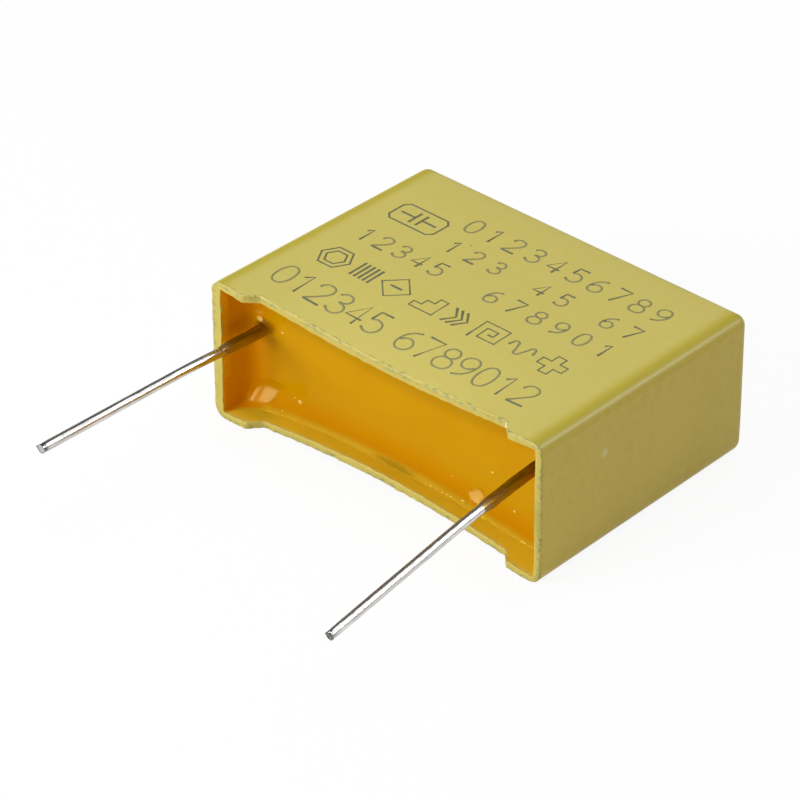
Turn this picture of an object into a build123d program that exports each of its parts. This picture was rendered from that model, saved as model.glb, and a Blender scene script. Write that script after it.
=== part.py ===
from build123d import *
import math
import os

# Box-type polypropylene film capacitor, lying on one broad wall.
# Frame: X along the lead pitch, Y through the depth (mouth at -Y, closed back at +Y), +Z up
# through the thickness. Origin: centre of the broad wall that the part rests on. Millimetres.

# ---- moulded case ----
case_length = 26.5          # over the end walls, at the mouth
case_depth = 19.0           # foot tips to outside of the back
case_thickness = 9.85       # over the broad walls, at the mouth
end_wall = 0.6              # each end wall, at the mouth
broad_wall = 0.46           # each broad wall, at the mouth
wall_gain = 0.10            # what each wall gains in thickness down to the back
core_shift = 0.12           # how far the cavity sits off centre, towards +X
back_wall = 0.8
end_draft = 0.21            # each end wall leans in by this over the depth
broad_draft = 0.12          # the upper broad wall comes down by this over the depth
edge_radius = 0.75          # outer edges
base_radius = 0.9           # the resting side's outer edges that run down the depth
inner_radius = 0.35         # inner edges that run down the cavity
bow = 0.82                  # inward bow of each broad wall's outside, mid-length at the mouth
cavity_bow = 0.93           # the same for its inside, so the wall is thicker mid-length
bow_reach = 9.0             # depth at which the bow has died out
bow_power = 1.5             # how the bow fades along the length
foot_height = 0.78          # how far the feet stand out from the rim
foot_length = 2.6           # each foot along X, from the outside of its end wall
rim_arch = 0.16             # the rim between the feet is this much deeper mid-length

# ---- potting resin ----
resin_level = 2.75          # foot tips to the flat of the resin
resin_climb = 0.75          # how far the resin climbs up the walls
climb_width = 0.55          # distance from a wall over which the climb falls to about a third
collar_climb = 0.4          # how far the resin climbs up a lead
collar_width = 0.35         # same fall-off, round a lead

# ---- wound element ----
winding_width = 13.2        # across the flat of the roll, along Y
winding_thickness = 7.0     # along Z
winding_back_gap = 0.7      # resin between the roll and the back
spray_thickness = 0.5       # sprayed metal on each end of the roll
weld_depth = 0.15           # how far a lead sits into the sprayed metal

# ---- leads ----
lead_inset = 2.0            # outside of an end wall, at the mouth, to the axis of its lead
lead_diameter = 0.6
lead_reach = 15.8           # lead tips beyond the foot tips
lead_grip = 10.9            # length of a lead inside the resin
left_root_height = 5.9      # axis above the resting side, where the lead leaves the resin
left_bend_inset = 1.6       # first corner of the bend, inside the foot tips
left_bend_length = 5.0      # from the first corner of the bend to the second, along Y
left_bend_rise = 0.25
left_tip_height = 6.2
right_root_height = 6.6
right_bend_inset = 1.0
right_bend_length = 5.6
right_bend_rise = -0.55
right_tip_height = 4.42
tip_splay = 0.35            # each tip stands this much further out than its root
cut_angle = 24.0            # flanks that the side cutters leave on a tip, degrees

# ---- derived places ----
half_length = case_length / 2
mouth_y = -case_depth / 2
back_y = case_depth / 2
cavity_back_y = back_y - back_wall
lead_x = half_length - lead_inset
lead_radius = lead_diameter / 2
root_y = mouth_y + resin_level
tip_y = mouth_y - lead_reach
spray_outer_x = lead_x - lead_radius + weld_depth
winding_half_length = spray_outer_x - spray_thickness
winding_y = cavity_back_y - winding_back_gap - winding_width / 2

os.makedirs("parts", exist_ok=True)


def depth_share(y):
    """How far y lies from the mouth (0) to the back (1)."""
    return (y - mouth_y) / case_depth


def outer_half_length(y):
    """Half the length over the end walls at y."""
    return half_length - end_draft * depth_share(y)


def outer_top(y):
    """Height of the upper broad wall's outside at y, without its bow."""
    return case_thickness - broad_draft * depth_share(y)


def walls_at(y):
    """Thickness of the end walls and of the broad walls at y."""
    gain = wall_gain * depth_share(y)
    return end_wall + gain, broad_wall + gain


def section(y, end_inset, broad_inset):
    """Corners of the section across the case at y, drawn in from the outside by the insets."""
    half = outer_half_length(y) - end_inset
    low, high = broad_inset, outer_top(y) - broad_inset
    corners = [(-half, y, low), (half, y, low), (half, y, high), (-half, y, high)]
    return [Vector(*corner) for corner in corners]


def flat_face(*corners):
    """Flat face through corners given in order."""
    return Face(Wire.make_polygon(corners, close=True))


def tapered_block(y_front, y_back, front_insets, back_insets):
    """Drafted block with six flat faces between two sections of the case."""
    front, back = section(y_front, *front_insets), section(y_back, *back_insets)
    sides = [flat_face(front[i - 1], front[i], back[i], back[i - 1]) for i in range(4)]
    return Solid(Shell([flat_face(*front), flat_face(*back), *sides]))


def bow_at(x, y, depth):
    """Inward bow at x, y of a broad wall that bows by depth, mid-length at the mouth."""
    span = half_length - edge_radius
    along = max(0.0, 1 - (x / span) ** 2) ** bow_power
    fade = max(0.0, 1 - (y - mouth_y) / bow_reach)
    return depth * along * fade ** 2


def spread(start, stop, count):
    """Evenly spaced values, ends included."""
    return [start + (stop - start) * step / (count - 1) for step in range(count)]


def bow_cutter(side, shift, depth):
    """Body outside a bowed broad wall; side is +1 for the upper wall, -1 for the lower.

    shift moves the bowed skin inward, so the same form cuts the outside and the cavity.
    """
    skin = 0.012            # lifts the sheet off the flat wall where there is no bow
    overrun = 0.6
    rows = []
    for y in spread(mouth_y - overrun, mouth_y + bow_reach + overrun, 17):
        row = []
        for x in spread(-half_length - overrun, half_length + overrun, 33):
            inward = bow_at(x, y, depth) - skin + shift
            height = outer_top(y) - inward if side > 0 else inward
            row.append(Vector(x, y, height))
        rows.append(row)
    sheet = Face.make_surface_from_array_of_points(rows, tol=0.004)
    return Solid.extrude(sheet, Vector(0, 0, side * 2 * case_thickness))


def outer_body():
    """Outside of the case as a full block, with rounded edges and bowed broad walls."""
    block = tapered_block(mouth_y, back_y, (0, 0), (0, 0))
    base_edges = block.edges().group_by(Axis.Y)[1].group_by(Axis.Z)[0]
    body = block.fillet(base_radius, base_edges)
    _, run_down, back_ring = body.edges().group_by(Axis.Y)
    body = body.fillet(edge_radius, [*run_down.group_by(Axis.Z)[-1], *back_ring])
    return body - bow_cutter(1, 0, bow) - bow_cutter(-1, 0, bow)


def cavity_body():
    """Space inside the case, from beyond the mouth to the inside of the back."""
    front_y = mouth_y - 1
    block = tapered_block(front_y, cavity_back_y, walls_at(front_y), walls_at(cavity_back_y))
    block = Pos(core_shift, 0, 0) * block
    front_edges = block.edges().group_by(Axis.Y)[0]
    rounded = [edge for edge in block.edges() if edge not in front_edges]
    body = block.fillet(inner_radius, rounded)
    upper, lower = (bow_cutter(side, broad_wall, cavity_bow) for side in (1, -1))
    return body - upper - lower


def rim_cutter():
    """What is taken off the broad walls between the feet: sloped flanks and a shallow arch."""
    mouth_half = half_length - foot_length
    floor_half = mouth_half - foot_height
    floor_y = mouth_y + foot_height
    outline = [
        Polyline((-floor_half, floor_y), (-mouth_half, mouth_y), (-mouth_half, mouth_y - 1),
                 (mouth_half, mouth_y - 1), (mouth_half, mouth_y), (floor_half, floor_y)),
        ThreePointArc((floor_half, floor_y), (0, floor_y + rim_arch), (-floor_half, floor_y)),
    ]
    profile = make_face(outline)
    return extrude(Pos(0, 0, -1) * profile, amount=case_thickness + 2)


def make_case():
    """One moulded box, open at the mouth, with four feet."""
    return outer_body() - cavity_body() - rim_cutter()


def lead_path(side):
    """Centre line of a lead: straight in the resin, a gentle bend, then straight to the tip."""
    if side < 0:
        root_height, tip_height = left_root_height, left_tip_height
        inset, length, rise = left_bend_inset, left_bend_length, left_bend_rise
    else:
        root_height, tip_height = right_root_height, right_tip_height
        inset, length, rise = right_bend_inset, right_bend_length, right_bend_rise
    root_x = side * lead_x
    bend_y = mouth_y + inset
    splay = side * tip_splay
    knee_x = root_x + splay * length / (bend_y - tip_y)
    points = [
        (root_x, root_y + lead_grip, root_height),
        (root_x, bend_y, root_height),
        (knee_x, bend_y - length, root_height + rise),
        (root_x + splay, tip_y, tip_height),
    ]
    return [Vector(*point) for point in points]


def bend_radius(before, corner, after):
    """Radius as large as the shorter run allows at one corner of a path."""
    first, second = corner - before, after - corner
    half_turn = math.radians(first.get_angle(second)) / 2
    return 0.45 * min(first.length, second.length) / math.tan(half_turn)


def tip_cutter(path):
    """Takes a wire end down to the blunt wedge that side cutters leave."""
    tip, before = path[-1], path[-2]
    across = 2 * lead_diameter
    slope = across * math.tan(math.radians(cut_angle))
    plane = Plane(origin=tip, x_dir=tip - before, z_dir=Vector(0, 0.25, 1))
    notch = Polyline((-slope, across), (0, 0), (-slope, -across),
                     (across, -across), (across, across), close=True)
    return plane * extrude(make_face(notch), amount=across, both=True)


def make_lead(side):
    """Tinned wire: straight runs joined by tangent arcs, with a clipped end."""
    path = lead_path(side)
    radii = [bend_radius(*path[index - 1:index + 2]) for index in (1, 2)]
    line = FilletPolyline(*path, radius=radii)
    profile = Plane(origin=path[0], z_dir=path[1] - path[0]) * Circle(lead_radius)
    return sweep(profile, path=line) - tip_cutter(path)


def roll_section():
    """Outline of the flattened roll across its axis, centred in the cavity."""
    centre_z = outer_top(winding_y) / 2
    plane = Plane(origin=(0, winding_y, centre_z), x_dir=(0, 1, 0), z_dir=(1, 0, 0))
    return plane * SlotOverall(winding_width, winding_thickness)


def make_winding():
    """Flattened roll of metallised film, its axis along X."""
    return extrude(roll_section(), amount=winding_half_length, both=True)


def make_spray(side, lead):
    """Sprayed contact on one end of the roll, grooved where the lead is welded in."""
    direction = Vector(side, 0, 0)
    face = Pos(side * winding_half_length, 0, 0) * roll_section()
    return extrude(face, amount=spray_thickness, dir=direction) - lead


def resin_height(x, z):
    """Y of the resin's free surface at x, z: level in the middle, climbing walls and leads."""
    low = broad_wall + bow_at(x, root_y, cavity_bow)
    high = outer_top(root_y) - low
    side_gap = outer_half_length(root_y) - end_wall - abs(x - core_shift)
    gaps = (side_gap, z - low, high - z)
    away = math.prod(1 - math.exp(-max(gap, 0.0) / climb_width) for gap in gaps)
    climb = resin_climb * (1 - away)
    for side, height in ((-1, left_root_height), (1, right_root_height)):
        reach = math.hypot(x - side * lead_x, z - height)
        climb += collar_climb * math.exp(-max(reach - lead_radius, 0.0) / collar_width)
    return root_y - climb


def resin_front():
    """Body in front of the resin's free surface."""
    overrun = 0.3
    rows = []
    for z in spread(broad_wall - overrun, case_thickness - broad_wall + overrun, 29):
        half = half_length - end_wall + overrun
        places = spread(core_shift - half, core_shift + half, 73)
        rows.append([Vector(x, resin_height(x, z), z) for x in places])
    sheet = Face.make_surface_from_array_of_points(rows, tol=0.03)
    return Solid.extrude(sheet, Vector(0, -2 * case_depth, 0))


def make_resin(buried):
    """Cast resin: fills the cavity behind its surface, round everything buried in it."""
    body = cavity_body() - resin_front()
    for piece in buried:
        body = body - piece
    return body


def main():
    """Build every piece and write one STEP file for each."""
    left_lead, right_lead = make_lead(-1), make_lead(1)
    winding = make_winding()
    left_spray = make_spray(-1, left_lead)
    right_spray = make_spray(1, right_lead)
    buried = [winding, left_spray, right_spray, left_lead, right_lead]
    pieces = {
        "case": make_case(),
        "potting_resin": make_resin(buried),
        "film_winding": winding,
        "left_end_spray": left_spray,
        "right_end_spray": right_spray,
        "left_lead": left_lead,
        "right_lead": right_lead,
    }
    for name, piece in pieces.items():
        piece.label = name
        export_step(piece, f"parts/{name}.step")


main()
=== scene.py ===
"""Looks of a box-type film capacitor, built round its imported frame.

The moulded case, the cast resin, the two leads with the resin on them and the marks on the
broad side are modelled here. The wound element and its sprayed ends stay as they come from the
frame, with finishes. Sizes are in millimetres until a mesh becomes an object, in metres.
"""

import logging
import math
from dataclasses import dataclass, field
from enum import Enum
from functools import cached_property

import bmesh
import bpy
from mathutils import Matrix, Vector, kdtree, noise


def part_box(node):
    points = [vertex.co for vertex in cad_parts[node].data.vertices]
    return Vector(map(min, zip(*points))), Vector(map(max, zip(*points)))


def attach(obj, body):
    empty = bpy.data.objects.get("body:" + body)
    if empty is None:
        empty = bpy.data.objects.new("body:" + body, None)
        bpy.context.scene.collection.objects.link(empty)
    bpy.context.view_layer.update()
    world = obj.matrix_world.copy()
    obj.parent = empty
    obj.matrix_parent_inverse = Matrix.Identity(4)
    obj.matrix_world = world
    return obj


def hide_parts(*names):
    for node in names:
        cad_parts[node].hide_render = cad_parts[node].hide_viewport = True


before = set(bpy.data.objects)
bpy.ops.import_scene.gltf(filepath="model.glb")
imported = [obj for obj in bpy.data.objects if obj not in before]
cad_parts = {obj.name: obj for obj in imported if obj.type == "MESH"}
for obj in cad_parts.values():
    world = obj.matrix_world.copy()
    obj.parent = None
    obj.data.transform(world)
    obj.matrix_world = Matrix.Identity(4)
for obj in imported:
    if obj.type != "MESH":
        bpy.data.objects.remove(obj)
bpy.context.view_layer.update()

MM = 0.001
ON_PLANE = 1e-4  # a vertex this near to a plane lies in it
ALONG_Y = Matrix.Rotation(math.radians(90), 3, "X")
Socket = bpy.types.NodeSocket
Node = bpy.types.Node
Material = bpy.types.Material
Piece = bpy.types.Object
Mesh = bmesh.types.BMesh
Triple = tuple[float, float, float]
Colour = Triple
Pair = tuple[float, float]
log = logging.getLogger("capacitor")


class Slot(Enum):
    """Names of material slots; no piece here uses them."""

    CASE = "case_plastic"
    RESIN = "resin"
    WIRE = "tinned_wire"


class Side(Enum):
    """End of the case that a lead stands at; the value is the sign of its X."""

    LEFT = -1
    RIGHT = 1


def clamped(value: float) -> float:
    """The value, kept between 0 and 1."""
    return min(1.0, max(0.0, value))


def smooth_step(low: float, high: float, value: float) -> float:
    """Ease from 0 where the value is low to 1 where it is high."""
    share = clamped((value - low) / (high - low))
    return share * share * (3 - 2 * share)


def bell(value: float, middle: float, width: float) -> float:
    """Bell-shaped share, 1 in the middle."""
    return math.exp(-(((value - middle) / width) ** 2))


def node_box_mm(name: str) -> tuple[Vector, Vector]:
    """Lowest and highest corner of a frame node in millimetres."""
    low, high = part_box(name)
    return low / MM, high / MM


# ---- Node wiring ----


class Wiring:
    """Adds and links the nodes of one material or world."""

    def __init__(self, owner: Material | bpy.types.World) -> None:
        """Start on a new material or world.

        Args:
            owner: What the nodes belong to.
        """
        owner.use_nodes = True
        self.owner = owner
        self.tree = owner.node_tree

    def feed(self, node: Node, inputs: dict[str | int, object]) -> None:
        """Link inputs of a node, or set their constants.

        Args:
            node: The node.
            inputs: Sockets or constants, by the input's name or number.
        """
        for key, value in inputs.items():
            socket = node.inputs[key]
            if isinstance(value, Socket):
                self.tree.links.new(value, socket)
            else:
                socket.default_value = (*value, 1.0) if socket.type == "RGBA" else value

    def node(self, kind: str, inputs: dict[str | int, object], **settings: object) -> Node:
        """Add one node.

        Args:
            kind: Node type without the ShaderNode prefix.
            inputs: Sockets or constants, by the input's name or number.
            **settings: Properties of the node.

        Returns:
            The node.
        """
        made = self.tree.nodes.new("ShaderNode" + kind)
        for key, value in settings.items():
            setattr(made, key, value)
        self.feed(made, inputs)
        return made

    def set(self, **inputs: object) -> None:
        """Feed inputs of the Principled shader, underscores standing for spaces."""
        named = {key.replace("_", " "): value for key, value in inputs.items()}
        self.feed(self.tree.nodes["Principled BSDF"], named)

    @cached_property
    def place(self) -> Socket:
        """Position on the piece in millimetres."""
        where = self.node("TexCoord", {}).outputs["Object"]
        return self.node("Mapping", {"Vector": where, "Scale": (1 / MM,) * 3}).outputs["Vector"]

    def stretched(self, scale: Triple, offset: Triple = (0, 0, 0)) -> Socket:
        """Position on the piece, moved and then stretched along the axes.

        Args:
            scale: Factor along each axis.
            offset: What is taken off the position first, in millimetres.

        Returns:
            The new position.
        """
        moved = self.node("VectorMath", {0: self.place, 1: offset}, operation="SUBTRACT")
        inputs = {0: moved.outputs[0], 1: scale}
        return self.node("VectorMath", inputs, operation="MULTIPLY").outputs[0]

    def noise(self, scale: float, detail: float = 2.0, roughness: float = 0.5,
              where: Socket | None = None) -> Socket:
        """Noise value.

        Args:
            scale: Cells per millimetre.
            detail: Octaves.
            roughness: Share of the finer octaves.
            where: Position to read, or None for the piece's own.

        Returns:
            A value round 0.5.
        """
        inputs = {"Vector": where or self.place, "Scale": scale, "Detail": detail,
                  "Roughness": roughness}
        return self.node("TexNoise", inputs).outputs["Fac"]

    def math(self, operation: str, first: Socket, second: object, clamp: bool = False) -> Socket:
        """Result of one Math node, kept between 0 and 1 if clamp is set."""
        inputs = {0: first, 1: second}
        return self.node("Math", inputs, operation=operation, use_clamp=clamp).outputs[0]

    def ease(self, value: Socket, low: float, high: float, start: float = 0.0,
             end: float = 1.0) -> Socket:
        """Smooth map of a value from low..high to start..end."""
        inputs = {"Value": value, "From Min": low, "From Max": high, "To Min": start,
                  "To Max": end}
        return self.node("MapRange", inputs, interpolation_type="SMOOTHSTEP").outputs["Result"]

    def mix(self, share: Socket, first: object, second: object) -> Socket:
        """Mix of two colours, by the share of the second."""
        inputs = {0: share, 6: first, 7: second}
        return self.node("Mix", inputs, data_type="RGBA", clamp_factor=True).outputs[2]

    def attribute(self, name: str) -> Socket:
        """Value of one of the mesh's attributes."""
        return self.node("Attribute", {}, attribute_name=name).outputs["Fac"]

    def bump(self, height: Socket, distance: float, strength: float = 1.0,
             under: Socket | None = None) -> Socket:
        """Bumped normal.

        Args:
            height: Height value.
            distance: Real height of a value of 1, in millimetres.
            strength: Share of the effect.
            under: Normal that this one adds to.

        Returns:
            The normal.
        """
        inputs = {"Height": height, "Distance": distance * MM, "Strength": strength}
        if under is not None:
            inputs["Normal"] = under
        return self.node("Bump", inputs).outputs["Normal"]

    def seen_as(self, lighting: Socket, seen: Socket, share: float = 1.0) -> Socket:
        """Shader that the camera and glossy surfaces see otherwise than it lights.

        Args:
            lighting: What all other rays meet.
            seen: What the camera and glossy surfaces meet.
            share: Share of it that they meet.

        Returns:
            The mixed shader.
        """
        path = self.node("LightPath", {}).outputs
        looking = self.math("ADD", path["Is Camera Ray"], path["Is Glossy Ray"], clamp=True)
        inputs = {0: self.math("MULTIPLY", looking, share), 1: lighting, 2: seen}
        return self.node("MixShader", inputs).outputs[0]


# ---- Finishes ----


@dataclass(frozen=True)
class Patch:
    """One scuff, chip, stain or speck, or a patch of painted shade or painted glint. Millimetres.
    """

    place: Triple
    radii: Triple
    tint: Colour
    strength: float
    ragged: float = 0.45
    cells: float = 5.0
    rim: Pair = (0.55, 1.05)

    def laid(self, wire: Wiring, colour: Socket) -> Socket:
        """Lay the mark over a colour.

        Args:
            wire: The material's nodes.
            colour: What lies under it.

        Returns:
            The marked colour.
        """
        scaled = wire.stretched(tuple(1 / radius for radius in self.radii), self.place)
        reach = wire.node("VectorMath", {0: scaled}, operation="LENGTH").outputs["Value"]
        rough = wire.math("MULTIPLY", wire.noise(self.cells, 3.0, 0.6), self.ragged)
        mask = wire.ease(wire.math("ADD", reach, rough), *self.rim, 1.0, 0.0)
        return wire.mix(wire.math("MULTIPLY", mask, self.strength), colour, self.tint)


@dataclass(frozen=True)
class MouldedPlastic:
    """Satin olive-yellow moulded plastic with the wear of its mouth, a painted sheen on top, and
    painted light and shade on some faces.
    """

    base: Colour = (0.552, 0.420, 0.052)
    deep: Colour = (0.512, 0.386, 0.044)
    pale: Colour = (0.565, 0.436, 0.062)
    # painted sheen: paler colour for faces that look upward
    painted_top_sheen: Colour = (0.555, 0.483, 0.125)
    # painted shade: darker, deeper colour for the rounded edges
    bare: Colour = (0.448, 0.366, 0.026)
    # painted shade: darker colour for the rim's front face
    rim: Colour = (0.400, 0.330, 0.060)
    grime: Colour = (0.240, 0.245, 0.075)
    # resin film on the inner walls, made lighter than the case as painted light for the shaded
    # cavity
    film: Colour = (0.690, 0.445, 0.010)
    roughness: Pair = (0.37, 0.49)
    specular: float = 0.3
    mottle_cells: float = 1.6
    cloud_cells: float = 0.16
    grain_cells: float = 14.0
    pit_cells: Triple = (2.4, 6.0, 4.0)
    skin_cells: float = 9.0
    skin_height: float = 0.006
    wave_cells: float = 0.9
    wave_height: float = 0.02
    wear_and_shade: tuple[Patch, ...] = (
        Patch((-6.45, -8.40, 9.25), (0.42, 0.16, 0.20), (0.10, 0.10, 0.04), 0.8),
        Patch((7.00, -8.25, 9.25), (0.65, 0.12, 0.20), (0.10, 0.11, 0.05), 0.75),
        Patch((8.10, -8.22, 9.25), (0.50, 0.10, 0.20), (0.14, 0.15, 0.07), 0.7),
        Patch((9.85, -8.85, 9.30), (0.09, 0.55, 0.60), (0.80, 0.80, 0.62), 0.9),
        Patch((-10.20, -8.60, 9.40), (0.40, 0.25, 0.25), (0.31, 0.28, 0.06), 0.6),
        *(Patch((13.25, -9.50, z), (0.12, 0.12, tall), (0.12, 0.13, 0.08), 0.8)
          for z, tall in ((9.20, 0.12), (7.65, 0.35), (6.28, 0.12), (3.35, 0.14))),
        Patch((-13.25, -9.50, 5.25), (0.15, 0.20, 0.16), (0.10, 0.09, 0.05), 0.8),
        Patch((13.15, -3.85, 6.55), (0.60, 0.42, 0.46), (0.62, 0.66, 0.36), 0.45),
        Patch((13.15, 5.33, 2.00), (0.60, 0.07, 0.07), (0.03, 0.03, 0.02), 0.9),
        Patch((13.15, -6.58, 4.35), (0.60, 0.22, 0.05), (0.30, 0.26, 0.05), 0.5),
        Patch((-4.32, 3.99, 9.75), (0.09, 0.09, 0.60), (0.03, 0.03, 0.02), 0.9),
        Patch((8.70, -8.10, 0.95), (0.11, 0.30, 0.50), (0.10, 0.06, 0.00), 0.6),
        Patch((-6.20, -8.70, 1.12), (0.18, 0.20, 0.24), (0.78, 0.78, 0.55), 0.6),
        # painted shade: a darker patch in the lower-left corner of the mouth's cavity
        Patch((-11.20, -8.00, 0.70), (2.60, 1.60, 0.80), (0.50, 0.36, 0.01), 0.8),
    )

    def build(self) -> Material:
        """Wire the material.

        Returns:
            The material.
        """
        wire = Wiring(bpy.data.materials.new("olive_yellow_plastic"))
        mottle = wire.noise(self.mottle_cells, 4.0, 0.62)
        colour = wire.mix(wire.ease(mottle, 0.35, 0.65), self.deep, self.base)
        cloud = wire.ease(wire.noise(self.cloud_cells), 0.35, 0.7, 0.0, 0.5)
        colour = wire.mix(cloud, colour, self.pale)
        facing = wire.node("NewGeometry", {}).outputs["True Normal"]
        upward = wire.node("SeparateXYZ", {0: facing}).outputs["Z"]
        # painted sheen: upward faces take a paler colour in place of the sheen the lamps put on
        # the top
        sheened = wire.mix(wire.ease(mottle, 0.3, 0.7, 0.25, 0.0), self.painted_top_sheen, self.base)
        colour = wire.mix(wire.ease(upward, 0.6, 0.98), colour, sheened)
        grain = wire.noise(self.grain_cells, 2.0, 0.6)
        colour = wire.mix(wire.ease(grain, 0.3, 0.7, 0.0, 0.10), colour, self.deep)
        # painted shade: a darker band along the rounded edges, where they mirror little light
        colour = wire.mix(wire.attribute("round_edge_shade"), colour, self.bare)
        # painted shade: the rim's front face takes a darker colour in place of less light on it
        colour = wire.mix(wire.attribute("rim_face_shade"), colour, self.rim)
        pits = wire.noise(1.0, 4.0, 0.7, wire.stretched(self.pit_cells))
        grime = wire.math("MULTIPLY", wire.ease(wire.attribute("rim_edge"), 0.25, 0.8),
                          wire.ease(pits, 0.50, 0.62), clamp=True)
        colour = wire.mix(grime, colour, self.grime)
        # resin film inside, its lighter colour painted light for the shaded cavity
        colour = wire.mix(wire.attribute("inside"), colour, self.film)
        for mark in self.wear_and_shade:
            colour = mark.laid(wire, colour)
        skin = wire.bump(wire.noise(self.skin_cells, 3.0, 0.6), self.skin_height, 0.5)
        normal = wire.bump(wire.noise(self.wave_cells), self.wave_height, 0.4, skin)
        wire.set(Base_Color=colour, Roughness=wire.ease(grain, 0.2, 0.8, *self.roughness),
                 Specular_IOR_Level=self.specular, Normal=normal)
        return wire.owner


@dataclass(frozen=True)
class CastResin:
    """Glossy amber resin, paler where thin and deeper orange near the lower and right walls, with
    painted shade, a painted bounce light and painted glints.
    """

    base: Colour = (0.478, 0.240, 0.000)
    cloudy: Colour = (0.470, 0.205, 0.000)
    low: Colour = (0.485, 0.198, 0.000)
    # painted bounce light: redder, brighter colour up the left wall
    painted_wall_bounce: Colour = (0.670, 0.240, 0.000)
    shaded: Colour = (0.330, 0.170, 0.000)
    thin: Colour = (0.490, 0.290, 0.012)
    # painted glint: pale colour of the beads
    glint: Colour = (0.800, 0.550, 0.140)
    shine: Colour = (1.0, 0.95, 0.35)
    gloss: float = 0.03
    roughness: float = 0.012
    cloud_cells: float = 0.35
    patch_cells: float = 1.3
    wave_cells: float = 0.8
    wave_height: float = 0.003
    stains_and_painted_light: tuple[Patch, ...] = (
        # painted shade round the left lead's root, where it meets the resin
        Patch((-11.15, -7.0, 6.20), (1.10, 2.0, 0.75), (0.110, 0.035, 0.0), 0.72),
        Patch((0.00, -7.3, 1.31), (2.60, 2.0, 0.30), (0.160, 0.080, 0.0), 0.50),
        Patch((6.00, -7.0, 1.50), (0.13, 2.0, 0.10), (0.150, 0.060, 0.0), 0.60),
        Patch((9.29, -7.0, 6.72), (0.40, 2.0, 0.05), (0.200, 0.060, 0.0), 0.40),
        Patch((1.87, -7.0, 3.99), (0.10, 2.0, 0.08), (0.400, 0.120, 0.02), 0.50),
        Patch((-11.60, -7.0, 7.05), (0.45, 2.0, 0.16), (0.600, 0.360, 0.05), 0.45),
        # painted glint: pale blotch round the bead at the same place
        Patch((-8.54, -7.0, 1.75), (0.32, 2.0, 0.24), (0.700, 0.420, 0.08), 0.55),
    )

    def build(self) -> Material:
        """Wire the material.

        Returns:
            The material.
        """
        wire = Wiring(bpy.data.materials.new("amber_resin"))
        cloud = wire.ease(wire.noise(self.cloud_cells, 3.0), 0.35, 0.75, 0.0, 0.4)
        colour = wire.mix(cloud, self.base, self.cloudy)
        # tints by share: deeper orange near the lower and right walls, painted shade, and a redder
        # painted bounce light up the left wall
        for name, tint in (("low_share", self.low), ("shade_share", self.shaded),
                           ("wall_bounce_share", self.painted_wall_bounce)):
            colour = wire.mix(wire.attribute(name), colour, tint)
        patchy = wire.ease(wire.noise(self.patch_cells, 3.0, 0.6), 0.3, 0.6, 0.75, 1.0)
        thin = wire.math("MULTIPLY", wire.attribute("thin_share"), patchy)
        colour = wire.mix(thin, colour, self.thin)
        for spot in self.stains_and_painted_light:
            colour = spot.laid(wire, colour)
        # painted glint: the beads take a pale colour in place of highlights on them
        colour = wire.mix(wire.attribute("glint_share"), colour, self.glint)
        normal = wire.bump(wire.noise(self.wave_cells), self.wave_height, 0.4)
        wire.set(Base_Color=colour, Roughness=self.roughness, Specular_IOR_Level=self.gloss,
                 Specular_Tint=self.shine, Normal=normal)
        return wire.owner


@dataclass(frozen=True)
class DriedCoat:
    """Brown resin that has run a little way along a lead and thins out there; its paler lower side
    is painted light.
    """

    upper: Colour = (0.122, 0.050, 0.000)
    # painted light: paler colour for the coat's lower side
    lower: Colour = (0.370, 0.155, 0.001)
    thin: Colour = (0.250, 0.170, 0.070)
    metal: float = 0.9
    roughness: float = 0.28
    specular: float = 0.05
    streak_cells: Triple = (6.0, 0.7, 6.0)
    streak_height: float = 0.02

    def build(self) -> Material:
        """Wire the material.

        Returns:
            The material.
        """
        wire = Wiring(bpy.data.materials.new("dried_resin_coat"))
        streak = wire.noise(1.0, 3.0, 0.6, wire.stretched(self.streak_cells))
        # painted light: the coat turns from dark on its upper-left to pale on its lower-right,
        # offsetting the shade there
        share = wire.math("ADD", wire.attribute("underside_light_share"),
                          wire.ease(streak, 0.35, 0.7, -0.25, 0.35), clamp=True)
        bare = wire.attribute("thin_share")
        colour = wire.mix(bare, wire.mix(share, self.upper, self.lower), self.thin)
        wire.set(Base_Color=colour, Metallic=wire.math("MULTIPLY", bare, self.metal),
                 Roughness=self.roughness, Specular_IOR_Level=self.specular,
                 Normal=wire.bump(streak, self.streak_height, 0.5))
        return wire.owner


@dataclass(frozen=True)
class TinnedWire:
    """Bright tin over copper, with fine drawing lines and painted shade on the clipped end."""

    base: Colour = (0.71, 0.70, 0.68)
    dull: Colour = (0.43, 0.41, 0.39)
    # painted shade for the clipped end
    painted_cut_shade: Colour = (0.09, 0.09, 0.085)
    roughness: Pair = (0.10, 0.21)
    line_cells: Triple = (14.0, 0.5, 14.0)
    line_height: float = 0.01
    crush_cells: float = 7.0

    def build(self) -> Material:
        """Wire the material.

        Returns:
            The material.
        """
        wire = Wiring(bpy.data.materials.new("bright_tin"))
        drawn = wire.noise(1.0, 3.0, 0.6, wire.stretched(self.line_cells))
        colour = wire.mix(wire.ease(drawn, 0.35, 0.7), self.base, self.dull)
        rough = wire.ease(wire.noise(self.crush_cells, 3.0, 0.6), 0.3, 0.6, 0.6, 1.0)
        # painted shade: the cut face and the pinched ring behind it are darkened
        cut = wire.math("MULTIPLY", wire.attribute("cut_shade_share"), rough, clamp=True)
        wire.set(Base_Color=wire.mix(cut, colour, self.painted_cut_shade), Metallic=1.0,
                 Roughness=wire.ease(drawn, 0.3, 0.7, *self.roughness),
                 Normal=wire.bump(drawn, self.line_height, 0.5))
        return wire.owner


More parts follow.
